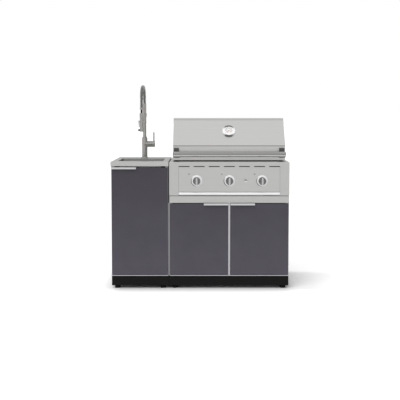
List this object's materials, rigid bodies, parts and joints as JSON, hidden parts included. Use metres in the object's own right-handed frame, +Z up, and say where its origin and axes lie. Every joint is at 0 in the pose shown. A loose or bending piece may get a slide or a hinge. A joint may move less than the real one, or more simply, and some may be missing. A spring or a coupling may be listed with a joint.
{
  "type": "outdoor kitchen cabinet set",
  "caption": "Sink cabinet with a spring-arch faucet beside a grill cabinet with a hooded gas grill, control knobs, drip tray and hinged doors.",
  "frame": {"origin": "on the ground, below the middle of the whole set's box", "axes": "+X to the grill's side, +Y to the rear, +Z up"},
  "size_m": [1.2468, 0.655, 1.4389],
  "materials": {
    "panel_steel": "brushed",
    "hood_steel": "brushed",
    "bowl_steel": "satin",
    "faucet_steel": "satin",
    "spring_steel": "satin",
    "polished_steel": "polished",
    "knob_metal": "satin",
    "pin_steel": "plain",
    "firebox_steel": "satin",
    "grate_steel": "satin",
    "tray_steel": "brushed",
    "galvanised": "matt",
    "edge_aluminium": "satin anodised",
    "slate_coat": "powder coat",
    "black_coat": "powder coat",
    "black_rubber": "matt",
    "hose_rubber": "satin",
    "dark_plastic": "matt",
    "dial_white": "gloss",
    "needle_red": "gloss"
  },
  "bodies": {
    "cabinets": {"sink_side_left": "slate_coat", "sink_side_right": "slate_coat", "sink_back": "galvanised", "sink_floor": "edge_aluminium", "sink_plinth": "black_coat", "grill_side_left": "slate_coat", "grill_side_right": "slate_coat", "grill_back": "galvanised", "grill_floor": "edge_aluminium", "grill_plinth": "black_coat", "front_stiles": "edge_aluminium", "centre_mullion": "edge_aluminium", "front_rail": "panel_steel", "levelling_feet": "black_rubber", "door_pivots": "pin_steel", "worktop": "panel_steel", "basin": "bowl_steel", "sink_drain": "polished_steel", "faucet_base": "faucet_steel", "faucet_nut": "pin_steel", "firebox": "firebox_steel", "grill_trim": "panel_steel", "fascia_sides": "panel_steel", "control_panel": "panel_steel", "knob_bezels": "polished_steel", "gas_manifold": "pin_steel", "burners": "firebox_steel", "heat_tents": "firebox_steel", "cooking_grates": "grate_steel", "hood_pivots": "pin_steel"},
    "sink_door": {"sink_door_panel": "slate_coat", "sink_door_liner": "galvanised", "sink_door_pull": "edge_aluminium"},
    "left_door": {"left_door_panel": "slate_coat", "left_door_liner": "galvanised", "left_door_pull": "edge_aluminium"},
    "right_door": {"right_door_panel": "slate_coat", "right_door_liner": "galvanised", "right_door_pull": "edge_aluminium"},
    "mixer": {"valve_cap": "faucet_steel"},
    "lever": {"faucet_lever": "faucet_steel"},
    "spout": {"faucet_stem": "faucet_steel", "dock_arm": "faucet_steel", "arch_hose": "hose_rubber", "hose_spring": "spring_steel"},
    "wand": {"spray_wand": "faucet_steel", "hose_tail": "hose_rubber"},
    "trigger": {"spray_trigger": "dark_plastic"},
    "left_knob": {"knob_left": "knob_metal"},
    "centre_knob": {"knob_centre": "knob_metal"},
    "right_knob": {"knob_right": "knob_metal"},
    "igniter": {"ignition_button": "polished_steel"},
    "tray": {"drip_tray": "tray_steel"},
    "hood": {"hood_shell": "hood_steel", "hood_handle": "polished_steel", "handle_brackets": "polished_steel", "handle_spacers": "dark_plastic", "thermometer_bezel": "polished_steel", "thermometer_dial": "dial_white"},
    "needle": {"thermometer_needle": "needle_red"}
  },
  "joints": [
    {"name": "sink_door_hinge", "type": "hinge", "parent": "cabinets", "child": "sink_door", "pos_m": [-0.2344, -0.2735, 0.098], "axis": [0, 0, 1], "range_deg": [0, 90]},
    {"name": "left_door_hinge", "type": "hinge", "parent": "cabinets", "child": "left_door", "pos_m": [-0.2001, -0.2735, 0.098], "axis": [0, 0, -1], "range_deg": [0, 90]},
    {"name": "right_door_hinge", "type": "hinge", "parent": "cabinets", "child": "right_door", "pos_m": [0.6089, -0.2735, 0.098], "axis": [0, 0, 1], "range_deg": [0, 90]},
    {"name": "hood_hinge", "type": "hinge", "parent": "cabinets", "child": "hood", "pos_m": [0.2044, 0.2475, 0.919], "axis": [-1, 0, 0], "range_deg": [0, 80]},
    {"name": "tray_slide", "type": "slide", "parent": "cabinets", "child": "tray", "axis": [0, -1, 0], "range_m": [0, 0.4]},
    {"name": "igniter_press", "type": "slide", "parent": "cabinets", "child": "igniter", "axis": [0, 1, 0], "range_m": [0, 0.004], "stiffness_N_per_m": 400},
    {"name": "spout_swivel", "type": "hinge", "parent": "cabinets", "child": "spout", "pos_m": [-0.4204, 0.2175, 1.045], "axis": [0, 0, 1], "range_deg": [-110, 75]},
    {"name": "wand_pull", "type": "slide", "parent": "spout", "child": "wand", "axis": [0, 0, -1], "range_m": [0, 0.18], "deforming": ["hose_tail"]},
    {"name": "trigger_press", "type": "hinge", "parent": "wand", "child": "trigger", "pos_m": [-0.44574, 0.00819, 1.172], "axis": [-0.0314, -0.9995, 0], "range_deg": [0, 4], "stiffness_Nm_per_rad": 0.5},
    {"name": "mixer_turn", "type": "hinge", "parent": "cabinets", "child": "mixer", "pos_m": [-0.3701, 0.2175, 0.998], "axis": [1, 0, 0], "range_deg": [-45, 45]},
    {"name": "lever_tilt", "type": "hinge", "parent": "mixer", "child": "lever", "pos_m": [-0.3504, 0.2175, 0.998], "axis": [0, 1, 0], "range_deg": [0, 20]},
    {"name": "needle_turn", "type": "hinge", "parent": "hood", "child": "needle", "pos_m": [0.2044, -0.15, 1.1015], "axis": [0, 0.7903, -0.6128], "range_deg": [0, 270]},
    {"name": "left_knob_turn", "type": "hinge", "parent": "cabinets", "child": "left_knob", "pos_m": [-0.0236, -0.2825, 0.759], "axis": [0, -1, 0], "range_deg": [0, 230]},
    {"name": "centre_knob_turn", "type": "hinge", "parent": "cabinets", "child": "centre_knob", "pos_m": [0.2044, -0.2825, 0.759], "axis": [0, -1, 0], "range_deg": [0, 230]},
    {"name": "right_knob_turn", "type": "hinge", "parent": "cabinets", "child": "right_knob", "pos_m": [0.4324, -0.2825, 0.759], "axis": [0, -1, 0], "range_deg": [0, 230]}
  ]
}
